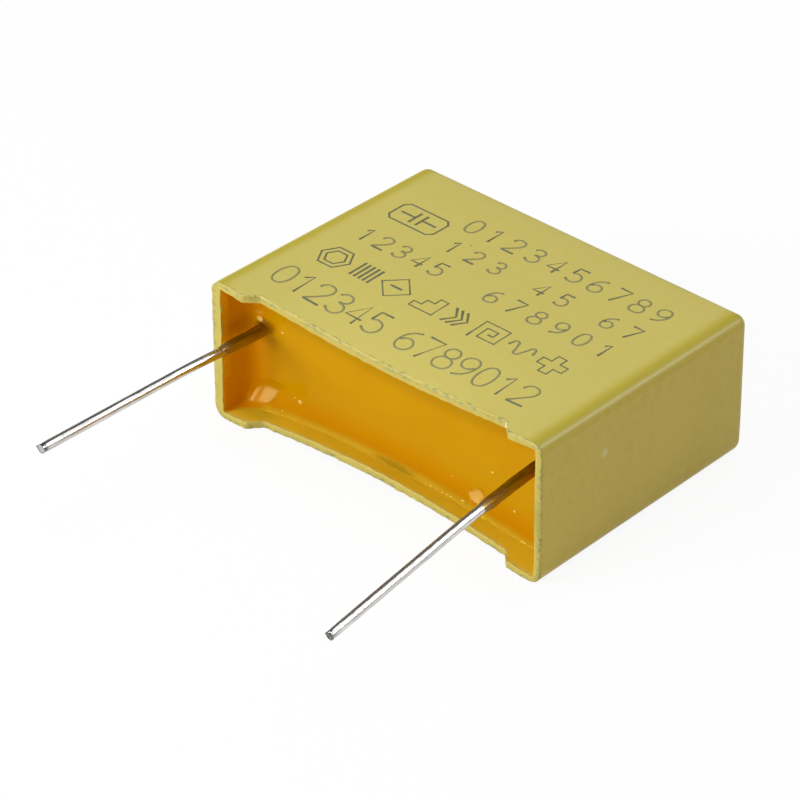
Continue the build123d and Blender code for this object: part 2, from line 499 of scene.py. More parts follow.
@dataclass(frozen=True)
class LaserMark:
    """Plastic darkened by a marking laser, darker where the beam dwelt."""

    line: Colour = (0.235, 0.215, 0.070)
    dwell: Colour = (0.115, 0.115, 0.045)
    roughness: float = 0.6
    patch_cells: float = 4.0

    def build(self) -> Material:
        """Wire the material.

        Returns:
            The material.
        """
        wire = Wiring(bpy.data.materials.new("marked_plastic"))
        patchy = wire.ease(wire.noise(self.patch_cells, 3.0, 0.6), 0.4, 0.7, -0.1, 0.35)
        share = wire.math("ADD", wire.attribute("dwell"), patchy)
        wire.set(Base_Color=wire.mix(share, self.line, self.dwell), Roughness=self.roughness)
        return wire.owner


@dataclass(frozen=True)
class MetallisedFilm:
    """Wound film, its turns showing as fine bands."""

    bright: Colour = (0.55, 0.56, 0.58)
    shade: Colour = (0.30, 0.31, 0.34)
    metal: float = 0.8
    roughness: float = 0.28
    turn_cells: Triple = (0.2, 9.0, 9.0)
    turn_height: float = 0.02

    def build(self) -> Material:
        """Wire the material.

        Returns:
            The material.
        """
        wire = Wiring(bpy.data.materials.new("metallised_film"))
        turns = wire.noise(1.0, where=wire.stretched(self.turn_cells))
        wire.set(Base_Color=wire.mix(wire.ease(turns, 0.35, 0.65), self.bright, self.shade),
                 Metallic=self.metal, Roughness=self.roughness,
                 Normal=wire.bump(turns, self.turn_height, 0.6))
        return wire.owner


@dataclass(frozen=True)
class SprayedMetal:
    """Grainy zinc sprayed on the ends of the roll."""

    bright: Colour = (0.52, 0.52, 0.50)
    shade: Colour = (0.22, 0.22, 0.21)
    metal: float = 0.9
    roughness: Pair = (0.75, 0.5)
    grain_cells: float = 5.0
    grain_height: float = 0.06

    def build(self) -> Material:
        """Wire the material.

        Returns:
            The material.
        """
        wire = Wiring(bpy.data.materials.new("sprayed_zinc"))
        grain = wire.noise(self.grain_cells, 5.0, 0.7)
        wire.set(Base_Color=wire.mix(wire.ease(grain, 0.35, 0.65), self.shade, self.bright),
                 Metallic=self.metal, Roughness=wire.ease(grain, 0.3, 0.7, *self.roughness),
                 Normal=wire.bump(grain, self.grain_height, 0.8))
        return wire.owner


# ---- Mesh helpers ----


def add_object(bm: Mesh, name: str, finish: Material) -> Piece:
    """Turn a mesh in millimetres into an object of the scene.

    Args:
        bm: The mesh, which is freed.
        name: The object's name.
        finish: Its material.

    Returns:
        The object.
    """
    bmesh.ops.scale(bm, vec=(MM,) * 3, verts=bm.verts)
    mesh = bpy.data.meshes.new(name)
    bm.to_mesh(mesh)
    bm.free()
    mesh.materials.append(finish)
    made = bpy.data.objects.new(name, mesh)
    bpy.context.scene.collection.objects.link(made)
    return made


def finish_piece(bm: Mesh, name: str, finish: Material) -> Piece:
    """Turn a mesh in millimetres into a smooth piece that rides on the part.

    Args:
        bm: The mesh, which is freed.
        name: The piece's name.
        finish: Its material.

    Returns:
        The piece.
    """
    for face in bm.faces:
        face.smooth = True
    piece = add_object(bm, name, finish)
    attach(piece, "root")
    return piece


def add_layers(bm: Mesh, *names: str) -> list[bmesh.types.BMLayerItem]:
    """New number attributes of the vertices."""
    return [bm.verts.layers.float.new(name) for name in names]


def cut_across(bm: Mesh, axis: int, places: list[float]) -> None:
    """Cut the whole mesh by planes square to an axis.

    Args:
        bm: The mesh.
        axis: 0, 1 or 2.
        places: Where the planes stand on that axis.
    """
    normal = Vector((0, 0, 0))
    normal[axis] = 1
    for place in places:
        bmesh.ops.bisect_plane(bm, geom=[*bm.verts, *bm.edges, *bm.faces], dist=1e-5,
                               plane_co=normal * place, plane_no=normal)


def even_steps(start: float, stop: float, step: float) -> list[float]:
    """Evenly spaced places from start to stop, both included, a step apart at most."""
    count = math.ceil((stop - start) / step)
    return [start + (stop - start) * index / count for index in range(count + 1)]


def edges_in_plane(bm: Mesh, y: float) -> list[bmesh.types.BMEdge]:
    """Edges that lie in the plane square to Y at y."""
    return [edge for edge in bm.edges
            if all(abs(vert.co.y - y) < ON_PLANE for vert in edge.verts)]


def round_edges(bm: Mesh, edges: list[bmesh.types.BMEdge], radius: float,
                segments: int) -> None:
    """Round edges of a mesh by a radius, in so many segments."""
    bmesh.ops.bevel(bm, geom=edges, offset=radius, offset_type="OFFSET", segments=segments,
                    profile=0.5, affect="EDGES", material=-1, clamp_overlap=True)


def rod_along_y(radius: float, low: float, high: float, segments: int) -> Mesh:
    """Closed cylinder round the Y axis.

    Args:
        radius: Its radius.
        low: Y of one end.
        high: Y of the other end.
        segments: Sides of its section.

    Returns:
        The mesh.
    """
    bm = bmesh.new()
    bmesh.ops.create_cone(bm, cap_ends=True, cap_tris=False, segments=segments,
                          radius1=radius, radius2=radius, depth=high - low)
    bmesh.ops.rotate(bm, cent=(0, 0, 0), verts=bm.verts, matrix=ALONG_Y)
    bmesh.ops.translate(bm, vec=(0, (low + high) / 2, 0), verts=bm.verts)
    return bm


# ---- The moulded case ----


@dataclass
class BoxForm:
    """Form of the moulded box that the other pieces follow. Millimetres."""

    end_wall: float = 0.6
    broad_wall: float = 0.46
    back_wall: float = 0.8
    core_shift: float = 0.12
    end_draft: float = 0.21
    broad_draft: float = 0.12
    edge_radius: float = 0.75
    base_radius: float = 0.9
    bow: float = 0.82
    cavity_bow: float = 0.93
    bow_reach: float = 9.0
    bow_power: float = 1.5
    foot_height: float = 0.78
    foot_length: float = 2.6
    rim_arch: float = 0.16
    recess_fade: float = 3.2
    low: Vector = field(default_factory=Vector)
    high: Vector = field(default_factory=Vector)

    def __post_init__(self) -> None:
        """Take the outer corners from the frame."""
        self.low, self.high = node_box_mm("case")

    @property
    def size(self) -> Vector:
        """Outer size."""
        return self.high - self.low

    @property
    def half_length(self) -> float:
        """Half the outer length at the mouth."""
        return self.size.x / 2

    @property
    def mouth(self) -> float:
        """Y of the foot tips."""
        return self.low.y

    def depth_share(self, y: float) -> float:
        """How far y lies from the mouth (0) to the back (1)."""
        return (y - self.mouth) / self.size.y

    def bow_at(self, x: float, y: float, inside: bool = False) -> float:
        """Inward bow of a broad wall.

        Args:
            x: Place along the length.
            y: Place along the depth.
            inside: Whether the cavity's side of the wall is meant.

        Returns:
            The inward shift.
        """
        span = self.half_length - self.edge_radius
        along = max(0.0, 1 - (x / span) ** 2) ** self.bow_power
        fade = clamped(1 - (y - self.mouth) / self.bow_reach)
        return (self.cavity_bow if inside else self.bow) * along * fade ** 2

    def recess_at(self, x: float) -> float:
        """How deep the rim lies behind the foot tips at x.

        Args:
            x: Place along the length.

        Returns:
            The depth.
        """
        flank_top = self.half_length - self.foot_length
        across = min(1.0, abs(x) / (flank_top - self.foot_height))
        arch = self.foot_height + self.rim_arch * (1 - across ** 2)
        return arch * clamped((flank_top - abs(x)) / self.foot_height)

    def broad_height(self, x: float, y: float) -> float:
        """Height of the upper broad wall's outside."""
        drop = self.broad_draft * self.depth_share(y)
        return self.size.z - drop - self.bow_at(x, y)

    def with_base_corner(self, x: float, z: float) -> Pair:
        """Widen the rounding of the two long edges that the part rests between.

        Args:
            x: Place along the length.
            z: Height above the resting side.

        Returns:
            Both, moved away from the corner.
        """
        across = self.half_length - abs(x)
        gain = self.base_radius / self.edge_radius - 1
        gain *= clamped(1 - (max(across, z) - self.edge_radius) / (2 * self.edge_radius))
        across += gain * min(across, self.edge_radius)
        return math.copysign(self.half_length - across, x), z + gain * min(z, self.edge_radius)

    def shaped(self, place: Vector, inside: bool) -> Vector:
        """Move a point of the straight box to the drafted, bowed and recessed one.

        Args:
            place: Point of the straight box.
            inside: Whether it lies in the cavity.

        Returns:
            Its place on the real form.
        """
        x, y, z = place
        reach = y - self.mouth
        if not inside:
            x, z = self.with_base_corner(x, z)
        if reach < self.recess_fade:
            y += self.recess_at(x) * (1 - reach / self.recess_fade)
        share = self.depth_share(y)
        x *= 1 - self.end_draft * share / self.half_length
        height = z / self.size.z
        z -= self.broad_draft * share * height
        bow = self.bow_at(x, y, inside)
        z += bow if height < 0.5 else -bow
        return Vector((x, y, z))


@dataclass
class MouldedCase:
    """One moulded box, open at the mouth, with four feet on its rim. Millimetres."""

    form: BoxForm
    corner_segments: int = 8
    column: float = 0.17
    flank_column: float = 0.13
    row: float = 0.3
    depths: tuple[float, ...] = (0.12, 0.28, 0.5, 0.8, 1.2, 1.7, 2.3, 3.2, 4.2, 5.3, 6.5, 7.8,
                                 9.2, 12.0, 15.0)
    wall_clearance: float = 0.05
    edge_break: float = 0.12
    inner_break: float = 0.05
    sharp_angle: float = 1.0
    skin_share: float = 0.6
    edge_reach: float = 0.2
    face_reach: float = 0.04
    # shares of the painted shade on the rim's face, inside and outside
    face_shares: Pair = (0.45, 0.9)
    film_reach: float = 0.4
    # where the painted shade of the rounded edges lies
    round_across: Pair = (0.6, 1.5)
    round_down: Pair = (0.1, 0.5)
    roughness: float = 0.045
    rough_reach: float = 0.5
    coarse_cells: float = 2.3
    fine_cells: float = 6.5
    fine_share: float = 0.6
    seed: int = 4

    def build(self, finish: Material) -> Piece:
        """Model and dress the case.

        Args:
            finish: Its material.

        Returns:
            The piece.
        """
        bm = self.straight_box()
        self.cut_rows(bm)
        self.break_edges(bm)
        self.mark_regions(bm)
        self.shape(bm)
        bmesh.ops.recalc_face_normals(bm, faces=bm.faces)
        piece = finish_piece(bm, "moulded_case", finish)
        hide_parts("case")
        return piece

    def straight_box(self) -> Mesh:
        """Box with rounded outer edges and its cavity, before draft, bow and recess.

        Returns:
            The mesh.
        """
        form = self.form
        bm = bmesh.new()
        bmesh.ops.create_cube(bm, size=1.0)
        bmesh.ops.scale(bm, vec=form.size, verts=bm.verts)
        bmesh.ops.translate(bm, vec=(form.low + form.high) / 2, verts=bm.verts)
        rim = edges_in_plane(bm, form.mouth)
        rounded = [edge for edge in bm.edges if edge not in rim]
        round_edges(bm, rounded, form.edge_radius, self.corner_segments)
        mouth = min(bm.faces, key=lambda face: face.calc_center_median().y)
        bmesh.ops.inset_region(bm, faces=[mouth], thickness=form.end_wall,
                               use_even_offset=True, use_boundary=True)
        widen = (form.size.z - 2 * form.broad_wall) / (form.size.z - 2 * form.end_wall)
        middle = Matrix.Translation((0, 0, -form.size.z / 2))
        bmesh.ops.scale(bm, vec=(1, 1, widen), space=middle, verts=mouth.verts)
        bmesh.ops.translate(bm, vec=(form.core_shift, 0, 0), verts=mouth.verts)
        sunk = bmesh.ops.extrude_face_region(bm, geom=[mouth])["geom"]
        bmesh.ops.delete(bm, geom=[mouth], context="FACES_ONLY")
        floor = [item for item in sunk if isinstance(item, bmesh.types.BMVert)]
        bmesh.ops.translate(bm, vec=(0, form.size.y - form.back_wall, 0), verts=floor)
        return bm

    def cut_rows(self, bm: Mesh) -> None:
        """Cut the box finely enough to take its form.

        Args:
            bm: The mesh.
        """
        form = self.form
        flank = form.half_length - form.foot_length
        inner = flank - form.foot_height
        end = form.half_length - form.end_wall - form.core_shift - self.wall_clearance
        right = [*even_steps(0, inner, self.column),
                 *even_steps(inner, flank, self.flank_column)[1:],
                 *even_steps(flank, end, self.column)[1:]]
        cut_across(bm, 0, [*(-place for place in reversed(right[1:])), *right])
        low = form.broad_wall + self.wall_clearance
        cut_across(bm, 2, even_steps(low, form.size.z - low, self.row))
        cut_across(bm, 1, [form.mouth + depth for depth in self.depths])

    def break_edges(self, bm: Mesh) -> None:
        """Take the sharpness off both edges of the rim.

        Args:
            bm: The mesh.
        """
        sharp = [edge for edge in edges_in_plane(bm, self.form.mouth)
                 if edge.calc_face_angle(0.0) > self.sharp_angle]
        outer = [edge for edge in sharp if self.is_outer(edge.verts[0].co)]
        inner = [edge for edge in sharp if edge not in outer]
        round_edges(bm, outer, self.edge_break, 2)
        round_edges(bm, inner, self.inner_break, 2)

    def is_outer(self, place: Vector) -> bool:
        """Whether a point of the straight box lies on its outside, not in its cavity.

        Args:
            place: The point.

        Returns:
            Whether it does.
        """
        form = self.form
        skin = self.skin_share * form.broad_wall
        return (abs(place.x) > form.half_length - form.end_wall / 2
                or place.z < skin or place.z > form.size.z - skin
                or place.y > form.high.y - form.back_wall / 2)

    def mark_regions(self, bm: Mesh) -> None:
        """Store where the rim and the inner walls are, and where painted shade goes on the rim's
        face and the rounded edges.

        Args:
            bm: The mesh, before it is shaped.
        """
        edge, face, inside, rounded = add_layers(bm, "rim_edge", "rim_face_shade", "inside",
                                                 "round_edge_shade")
        for vert in bm.verts:
            reach = vert.co.y - self.form.mouth
            outer = self.is_outer(vert.co)
            vert[edge] = float(outer and reach < self.edge_reach)
            vert[face] = self.face_shares[outer] if reach < self.face_reach else 0.0
            vert[inside] = 0.0 if outer else smooth_step(0.0, self.film_reach, reach)
            vert[rounded] = self.roundness(vert.co) if outer else 0.0

    def roundness(self, place: Vector) -> float:
        """How far a point of the outside lies on a rounded edge.

        Args:
            place: Point of the straight box.

        Returns:
            1 in the middle of a rounded edge, 0 on the flats.
        """
        across = self.form.half_length - abs(place.x)
        down = min(place.z, self.form.size.z - place.z)
        at_end = 1 - smooth_step(*self.round_across, across)
        return at_end * (1 - smooth_step(*self.round_down, down))

    def shape(self, bm: Mesh) -> None:
        """Give the box its draft, bow and recess, and roughen the rim.

        Args:
            bm: The mesh.
        """
        noise.seed_set(self.seed)
        for vert in bm.verts:
            place = vert.co.copy()
            vert.co = self.form.shaped(place, not self.is_outer(place))
            fade = 1 - (place.y - self.form.mouth) / self.rough_reach
            if fade > 0:
                wander = noise.noise_vector(place * self.coarse_cells
                                            + Vector((self.seed, 0, 0)))
                fine = noise.noise_vector(place * self.fine_cells + Vector((0, self.seed, 0)))
                vert.co += (wander + fine * self.fine_share) * (self.roughness * fade)


# ---- The marks on the broad side ----


@dataclass(frozen=True)
class Stroke:
    """One run of the marking beam on a unit-high field; a bent run turns without corners."""

    points: tuple[Pair, ...]
    bent: bool = False
    closed: bool = False

    def placed(self, left: float, base: float, size: float) -> "Stroke":
        """The stroke of a field whose lower left corner and height are given."""
        moved = tuple((left + x * size, base + y * size) for x, y in self.points)
        return Stroke(moved, self.bent, self.closed)


SIX_LOOP = ((0.52, 0.96), (0.2, 0.78), (0.03, 0.36), (0.12, 0.07), (0.33, 0.0),
            (0.57, 0.13), (0.57, 0.42), (0.33, 0.55), (0.07, 0.4))

DIGITS: dict[str, tuple[Stroke, ...]] = {
    "0": (Stroke(((0.31, 1.0), (0.6, 0.5), (0.31, 0.0), (0.02, 0.5)), True, True),),
    "1": (Stroke(((0.1, 0.78), (0.34, 1.0), (0.34, 0.0))),),
    "2": (Stroke(((0.02, 0.76), (0.11, 0.94), (0.31, 1.0), (0.54, 0.89), (0.56, 0.66),
                  (0.38, 0.4), (0.0, 0.0)), True), Stroke(((0.0, 0.0), (0.62, 0.0)))),
    "3": (Stroke(((0.03, 0.85), (0.27, 1.0), (0.53, 0.86), (0.49, 0.63), (0.24, 0.54)), True),
          Stroke(((0.24, 0.54), (0.55, 0.43), (0.59, 0.19), (0.31, 0.0), (0.02, 0.15)), True)),
    "4": (Stroke(((0.46, 0.0), (0.46, 1.0), (0.0, 0.3), (0.62, 0.3))),),
    "5": (Stroke(((0.56, 1.0), (0.1, 1.0), (0.06, 0.57))),
          Stroke(((0.06, 0.57), (0.33, 0.63), (0.59, 0.42), (0.52, 0.1), (0.26, 0.0),
                  (0.02, 0.12)), True)),
    "6": (Stroke(SIX_LOOP, True),),
    "7": (Stroke(((0.0, 1.0), (0.6, 1.0), (0.2, 0.0))),),
    "8": (Stroke(((0.31, 1.0), (0.53, 0.88), (0.53, 0.66), (0.31, 0.54), (0.09, 0.66),
                  (0.09, 0.88)), True, True),
          Stroke(((0.31, 0.54), (0.58, 0.41), (0.58, 0.12), (0.31, 0.0), (0.04, 0.12),
                  (0.04, 0.41)), True, True)),
    "9": (Stroke(tuple((0.62 - x, 1.0 - y) for x, y in SIX_LOOP), True),),
}


def polygon(sides: int, radius: float) -> Stroke:
    """Closed outline of a regular polygon centred in the unit field."""
    turns = [math.tau * index / sides for index in range(sides)]
    return Stroke(tuple((0.5 + radius * math.cos(turn), 0.5 + radius * math.sin(turn))
                        for turn in turns), closed=True)


class Shape(Enum):
    """Plain outlines marked beside the numbers, each on a unit field."""

    HEXAGON = (polygon(6, 0.5), polygon(6, 0.32))
    DIAMOND = (polygon(4, 0.5), Stroke(((0.3, 0.5), (0.7, 0.5))))
    BARS = tuple(Stroke(((0.15 + step, 0.1), (0.15 + step, 0.9)))
                 for step in (0.0, 0.18, 0.36, 0.54, 0.72))
    PLUS = (Stroke(((0.35, 0.05), (0.65, 0.05), (0.65, 0.35), (0.95, 0.35), (0.95, 0.65),
                    (0.65, 0.65), (0.65, 0.95), (0.35, 0.95), (0.35, 0.65), (0.05, 0.65),
                    (0.05, 0.35), (0.35, 0.35)), closed=True),)
    CHEVRONS = tuple(Stroke(((0.1 + step, 0.1), (0.4 + step, 0.5), (0.1 + step, 0.9)))
                     for step in (0.0, 0.22, 0.44))
    SPIRAL = (Stroke(((0.05, 0.05), (0.05, 0.95), (0.95, 0.95), (0.95, 0.2), (0.3, 0.2),
                      (0.3, 0.7), (0.7, 0.7), (0.7, 0.45), (0.5, 0.45))),)
    WAVE = (Stroke(((0.0, 0.5), (0.16, 0.8), (0.34, 0.5), (0.5, 0.2), (0.68, 0.5),
                    (0.84, 0.8), (1.0, 0.5)), True),)
    STEPS = (Stroke(((0.05, 0.1), (0.05, 0.35), (0.35, 0.35), (0.35, 0.62), (0.65, 0.62),
                     (0.65, 0.9), (0.95, 0.9), (0.95, 0.1)), closed=True),)
    PLATES = (Stroke(((0.2, 0.05), (0.8, 0.05), (1.15, 0.05), (1.3, 0.2), (1.3, 0.8),
                      (1.15, 0.95), (-0.15, 0.95), (-0.3, 0.8), (-0.3, 0.2), (-0.15, 0.05)),
                     closed=True),
              Stroke(((-0.12, 0.5), (0.38, 0.5))), Stroke(((0.38, 0.22), (0.38, 0.78))),
              Stroke(((0.62, 0.22), (0.62, 0.78))), Stroke(((0.62, 0.5), (1.12, 0.5))))


@dataclass(frozen=True)
class NumberRow:
    """Counting digits in one line of the marking. Millimetres."""

    digits: str
    left: float
    base: float
    height: float
    pitch: float

    def strokes(self) -> list[Stroke]:
        """Strokes of every digit at its place."""
        return [stroke.placed(self.left + index * self.pitch, self.base, self.height)
                for index, digit in enumerate(self.digits) if digit != " "
                for stroke in DIGITS[digit]]


@dataclass
class LaserMarking:
    """Plain numbers and shapes that a marking laser has drawn. Millimetres."""

    form: BoxForm
    width: float = 0.155
    rise: float = 0.010
    end_swell: float = 1.25
    dwell_reach: Pair = (0.034, 0.17)
    rows: tuple[NumberRow, ...] = (
        NumberRow("0123456789", -6.1, 4.95, 1.55, 1.66),
        NumberRow("123 45 67", -5.4, 2.42, 1.35, 1.78),
        NumberRow("12345", -10.3, -0.15, 1.42, 1.48),
        NumberRow("678901", 0.1, -0.15, 1.42, 1.75),
        NumberRow("012345", -11.0, -7.02, 2.0, 1.5),
        NumberRow("6789012", -0.9, -7.02, 2.0, 1.53),
    )
    shapes: tuple[tuple[Shape, float, float, float], ...] = (
        (Shape.PLATES, -9.9, 2.9, 2.3),
        (Shape.HEXAGON, -10.6, -3.75, 2.3), (Shape.BARS, -7.9, -3.6, 2.0),
        (Shape.DIAMOND, -5.6, -3.75, 2.3), (Shape.STEPS, -2.8, -3.6, 2.0),
        (Shape.CHEVRONS, -0.4, -3.6, 2.0), (Shape.SPIRAL, 2.0, -3.7, 2.1),
        (Shape.WAVE, 4.6, -3.6, 1.9), (Shape.PLUS, 7.0, -3.7, 2.1),
    )

    def strokes(self) -> list[Stroke]:
        """All strokes of the marking.

        Returns:
            The strokes.
        """
        made = [stroke for row in self.rows for stroke in row.strokes()]
        for shape, left, base, size in self.shapes:
            made += [stroke.placed(left, base, size) for stroke in shape.value]
        return made

    def build(self, finish: Material) -> Piece:
        """Model and dress the marking.

        Args:
            finish: Its material.

        Returns:
            The piece.
        """
        strokes = self.strokes()
        curve = bpy.data.curves.new("marking_path", "CURVE")
        curve.dimensions = "3D"
        curve.bevel_depth, curve.bevel_resolution = self.width / 2, 1
        curve.resolution_u, curve.use_fill_caps = 5, True
        for stroke in strokes:
            self.lay_stroke(curve, stroke)
        drawn = bpy.data.objects.new("marking_path", curve)
        bpy.context.scene.collection.objects.link(drawn)
        flat = bpy.data.meshes.new_from_object(drawn.evaluated_get(
            bpy.context.evaluated_depsgraph_get()))
        bpy.data.objects.remove(drawn)
        bpy.data.curves.remove(curve)
        bm = bmesh.new()
        bm.from_mesh(flat)
        bpy.data.meshes.remove(flat)
        self.settle(bm, strokes)
        return finish_piece(bm, "laser_marking", finish)

    def lay_stroke(self, curve: bpy.types.Curve, stroke: Stroke) -> None:
        """Add one stroke to the path.

        Args:
            curve: The path's curve.
            stroke: The stroke.
        """
        spline = curve.splines.new("BEZIER")
        last = len(stroke.points) - 1
        spline.bezier_points.add(last)
        spline.use_cyclic_u = stroke.closed
        handle = "AUTO" if stroke.bent else "VECTOR"
        for index, (x, y) in enumerate(stroke.points):
            point = spline.bezier_points[index]
            point.co = (x, y, 0.0)
            point.handle_left_type = point.handle_right_type = handle
            at_end = not stroke.closed and index in (0, last)
            point.radius = self.end_swell if at_end else 1.0

    def settle(self, bm: Mesh, strokes: list[Stroke]) -> None:
        """Lay the strokes on the bowed side and note where the beam dwelt.

        Args:
            bm: The mesh.
            strokes: The strokes that it was made from.
        """
        stops = [point for stroke in strokes if not stroke.bent for point in stroke.points]
        stops += [point for stroke in strokes if stroke.bent and not stroke.closed
                  for point in (stroke.points[0], stroke.points[-1])]
        tree = kdtree.KDTree(len(stops))
        for index, (x, y) in enumerate(stops):
            tree.insert((x, y, 0), index)
        tree.balance()
        (dwell,) = add_layers(bm, "dwell")
        for vert in bm.verts:
            x, y, z = vert.co
            vert[dwell] = 1 - smooth_step(*self.dwell_reach, tree.find((x, y, 0))[2])
            vert.co.z = self.form.broad_height(x, y) + 2 * z / self.width * self.rise


# ---- The cast resin ----


@dataclass(frozen=True)
class Facet:
    """Shallow dish in the resin that mirrors a window. Millimetres.

    At x and z it stands by rise above the resin's level and tilts by slope. Its surface bends
    with the radius curve, and reach is how far it goes along the direction along and square to it.
    """

    x: float = -11.28
    z: float = 1.25
    rise: float = 0.45
    slope: Pair = (-0.347, -0.525)
    along: Pair = (0.887, 0.461)
    reach: Pair = (1.08, 0.62)
    curve: float = 4.5
    corners: float = 1.25
    rim: Pair = (0.85, 1.9)

    def share(self, x: float, z: float) -> float:
        """How far the dish shapes the surface at a place, from 0 to 1.

        Args:
            x: Place along the length.
            z: Height above the resting side.

        Returns:
            The share.
        """
        run, lift = x - self.x, z - self.z
        first = (run * self.along[0] + lift * self.along[1]) / self.reach[0]
        second = (lift * self.along[0] - run * self.along[1]) / self.reach[1]
        size = abs(first) ** self.corners + abs(second) ** self.corners
        return 1 - smooth_step(*self.rim, size ** (1 / self.corners))

    def height(self, x: float, z: float) -> float:
        """Rise of the dish above the resin's level.

        Args:
            x: Place along the length.
            z: Height above the resting side.

        Returns:
            The rise.
        """
        run, lift = x - self.x, z - self.z
        dish = (run * run + lift * lift) / (2 * self.curve)
        return self.rise + run * self.slope[0] + lift * self.slope[1] + dish


@dataclass(frozen=True)
class GlintBead:
    """Small bead half sunk in the resin's surface, its pale colour a painted glint. Millimetres.
    """

    x: float
    z: float
    wide: float
    tall: float


@dataclass
class ResinFill:
    """Cast resin: its free surface climbs the walls and the leads. Millimetres.

    The three climbs of the film are a thin one on the left wall, a broad one there, and one in
    the corner of the left and the lower wall.
    """

    form: BoxForm
    level: float = 2.75
    climb: float = 0.75
    climb_width: float = 0.45
    collar_climb: float = 0.27
    collar_width: float = 0.4
    film_climb: Triple = (1.95, 0.80, 1.6)
    film_width: Triple = (0.12, 1.0, 0.6)
    rim_gap: float = 0.06
    ripple: float = 0.03
    ripple_cells: float = 0.5
    ripple_slice: float = 3.0
    wall_width: float = 1.5
    thin_band: Pair = (0.03, 0.28)
    thin_start: Pair = (0.8, 2.2)
    top_shade: float = 0.5
    top_band: Pair = (1.9, 2.8)
    left_shade: float = 0.4
    left_band: Pair = (1.6, 0.6)
    low_band: Pair = (0.4, 2.0)
    right_low: float = 0.8
    right_width: float = 1.2
    bead_sink: float = 0.6
    facets: tuple[Facet, ...] = (
        Facet(),
        Facet(6.10, 1.46, 0.26, (-0.338, -0.608), (0.94, -0.34), (0.52, 0.36), 10.0),
    )
    # beads whose pale colour is a painted glint
    glint_beads: tuple[GlintBead, ...] = (
        GlintBead(-11.54, 6.62, 0.29, 0.20), GlintBead(-9.95, 6.15, 0.10, 0.07),
        GlintBead(-8.54, 1.75, 0.15, 0.11), GlintBead(-9.01, 1.85, 0.05, 0.05),
        GlintBead(-9.60, 0.83, 0.06, 0.05), GlintBead(2.48, 1.09, 0.05, 0.04),
        GlintBead(2.88, 1.13, 0.08, 0.04), GlintBead(3.30, 1.12, 0.04, 0.04),
        GlintBead(3.81, 1.11, 0.06, 0.05), GlintBead(4.18, 1.14, 0.07, 0.04),
        GlintBead(4.49, 1.14, 0.09, 0.05), GlintBead(5.33, 1.19, 0.15, 0.05),
        GlintBead(7.13, 3.83, 0.09, 0.08), GlintBead(8.93, 1.90, 0.09, 0.08),
        GlintBead(3.99, 2.12, 0.05, 0.04),
    )
    crowding: float = 0.8
    bite: float = 0.04
    cell: float = 0.13
    roots: list[Vector] = field(default_factory=list)
    lead_radius: float = 0.3

    def gaps(self, x: float, z: float) -> tuple[float, float, float, float]:
        """Distances to the left, right, lower and upper wall.

        Args:
            x: Place along the length.
            z: Height above the resting side.

        Returns:
            The distances.
        """
        form = self.form
        low = form.broad_wall + form.bow_at(x, form.mouth + self.level, inside=True)
        end = form.half_length - form.end_wall
        gaps = (end - form.core_shift + x, end + form.core_shift - x,
                z - low, form.size.z - low - z)
        return tuple(max(gap, 0.0) for gap in gaps)

    def height(self, x: float, z: float) -> float:
        """Y of the free surface.

        Args:
            x: Place along the length.
            z: Height above the resting side.

        Returns:
            Y at that place.
        """
        left, *others = self.gaps(x, z)
        away = math.prod(1 - math.exp(-gap / self.climb_width) for gap in others)
        rise = self.climb * (1 - away)
        runs = (left, left, left + others[1])
        for climb, width, run in zip(self.film_climb, self.film_width, runs):
            rise += climb * math.exp(-run / width)
        for root in self.roots:
            reach = max(0.0, math.hypot(x - root.x, z - root.z) - self.lead_radius)
            rise += self.collar_climb * math.exp(-reach / self.collar_width)
        cells = self.ripple_cells
        rise += self.ripple * noise.noise(Vector((x * cells, self.ripple_slice, z * cells)))
        for facet in self.facets:
            rise += facet.share(x, z) * (facet.height(x, z) - rise)
        return self.form.mouth + self.level - min(rise, self.level - self.rim_gap)

    def mark_regions(self, bm: Mesh) -> None:
        """Store where the resin is thin, where painted shade falls, where it lies near the lower
        and right walls, and where the painted bounce light climbs the left wall.

        Args:
            bm: The mesh, before it is fitted.
        """
        layers = add_layers(bm, "wall_bounce_share", "thin_share", "shade_share", "low_share")
        for vert in bm.verts:
            left, right, low, high = self.gaps(vert.co.x, vert.co.z)
            thin = 1 - smooth_step(*self.thin_band, low)
            under_top = self.top_shade * (1 - smooth_step(*self.top_band, high))
            by_left = self.left_shade * bell(left, *self.left_band)
            lowest = 1 - smooth_step(*self.low_band, low)
            by_right = self.right_low * bell(right, 0.0, self.right_width)
            # the first share is the painted bounce light up the left wall
            shares = (bell(left, 0.0, self.wall_width),
                      thin * smooth_step(*self.thin_start, left),
                      max(under_top, by_left), max(lowest, by_right))
            for layer, share in zip(layers, shares):
                vert[layer] = share

    def refine(self, bm: Mesh) -> None:
        """Split the flat grid's cells where the dishes lie.

        Args:
            bm: The flat grid, whose Y is height about the middle.
        """
        middle = self.form.size.z / 2
        for facet in self.facets:
            place = Vector((facet.x, facet.z - middle, 0))
            near = [edge for edge in bm.edges
                    if all((vert.co - place).length < 2 * facet.reach[0]
                           for vert in edge.verts)]
            bmesh.ops.subdivide_edges(bm, edges=near, cuts=2, use_grid_fill=True)

    def add_glint_beads(self, bm: Mesh) -> None:
        """Set the beads into the surface; their pale colour is a painted glint.

        Args:
            bm: The fitted mesh.
        """
        (layer,) = add_layers(bm, "glint_share")
        for glint in self.glint_beads:
            made = bmesh.ops.create_icosphere(bm, subdivisions=2, radius=1.0)["verts"]
            size = (glint.wide, self.bead_sink * glint.tall, glint.tall)
            bmesh.ops.scale(bm, vec=size, verts=made)
            flat = Vector((glint.x, 0, self.unpressed(glint.x, glint.z)))
            bmesh.ops.translate(bm, vec=self.fitted(flat, None), verts=made)
            for vert in made:
                vert[layer] = 1.0

